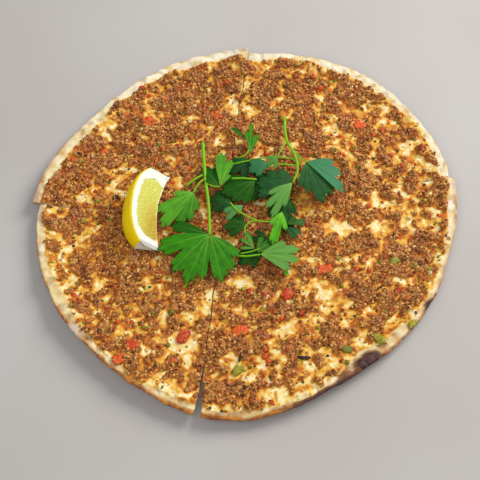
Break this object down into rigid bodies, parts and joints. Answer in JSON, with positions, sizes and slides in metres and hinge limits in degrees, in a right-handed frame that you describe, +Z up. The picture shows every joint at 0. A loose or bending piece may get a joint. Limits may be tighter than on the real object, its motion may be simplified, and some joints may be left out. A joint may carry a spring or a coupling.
{
  "type": "lahmacun",
  "caption": "Thin round flatbread baked with spiced minced meat, tomato and green pepper, cut across, with a lemon wedge and parsley on top.",
  "frame": {"origin": "under the middle of the round, on the flat surface that the bread rests on", "axes": "+Z up through the topping, +X to the side away from the lemon wedge, +Y from the gaping cut towards the opposite cut"},
  "size_m": [0.3079, 0.3061, 0.0275],
  "materials": {
    "bread": "baked flatbread, matt and floury, browned at the rim",
    "meat": "baked minced meat, moist with oil",
    "tomato": "cooked tomato, moist",
    "pepper": "cooked green pepper, moist",
    "lemon": "waxy peel, white pith and wet flesh",
    "parsley": "fresh leaf, satin",
    "char": "charred crust, dry"
  },
  "bodies": {
    "root": {"bread_back_left": "bread", "bread_back_right": "bread", "bread_front_right": "bread", "bread_front_left": "bread", "meat_back_left": "meat", "meat_back_right": "meat", "meat_front_right": "meat", "meat_front_left": "meat", "tomato_1": "tomato", "tomato_2": "tomato", "tomato_3": "tomato", "tomato_4": "tomato", "tomato_5": "tomato", "tomato_6": "tomato", "tomato_7": "tomato", "tomato_8": "tomato", "tomato_9": "tomato", "pepper_1": "pepper", "pepper_2": "pepper", "pepper_3": "pepper", "pepper_4": "pepper", "pepper_5": "pepper", "lemon_wedge": "lemon", "parsley_left": "parsley", "parsley_right": "parsley", "parsley_front": "parsley"}
  },
  "joints": []
}
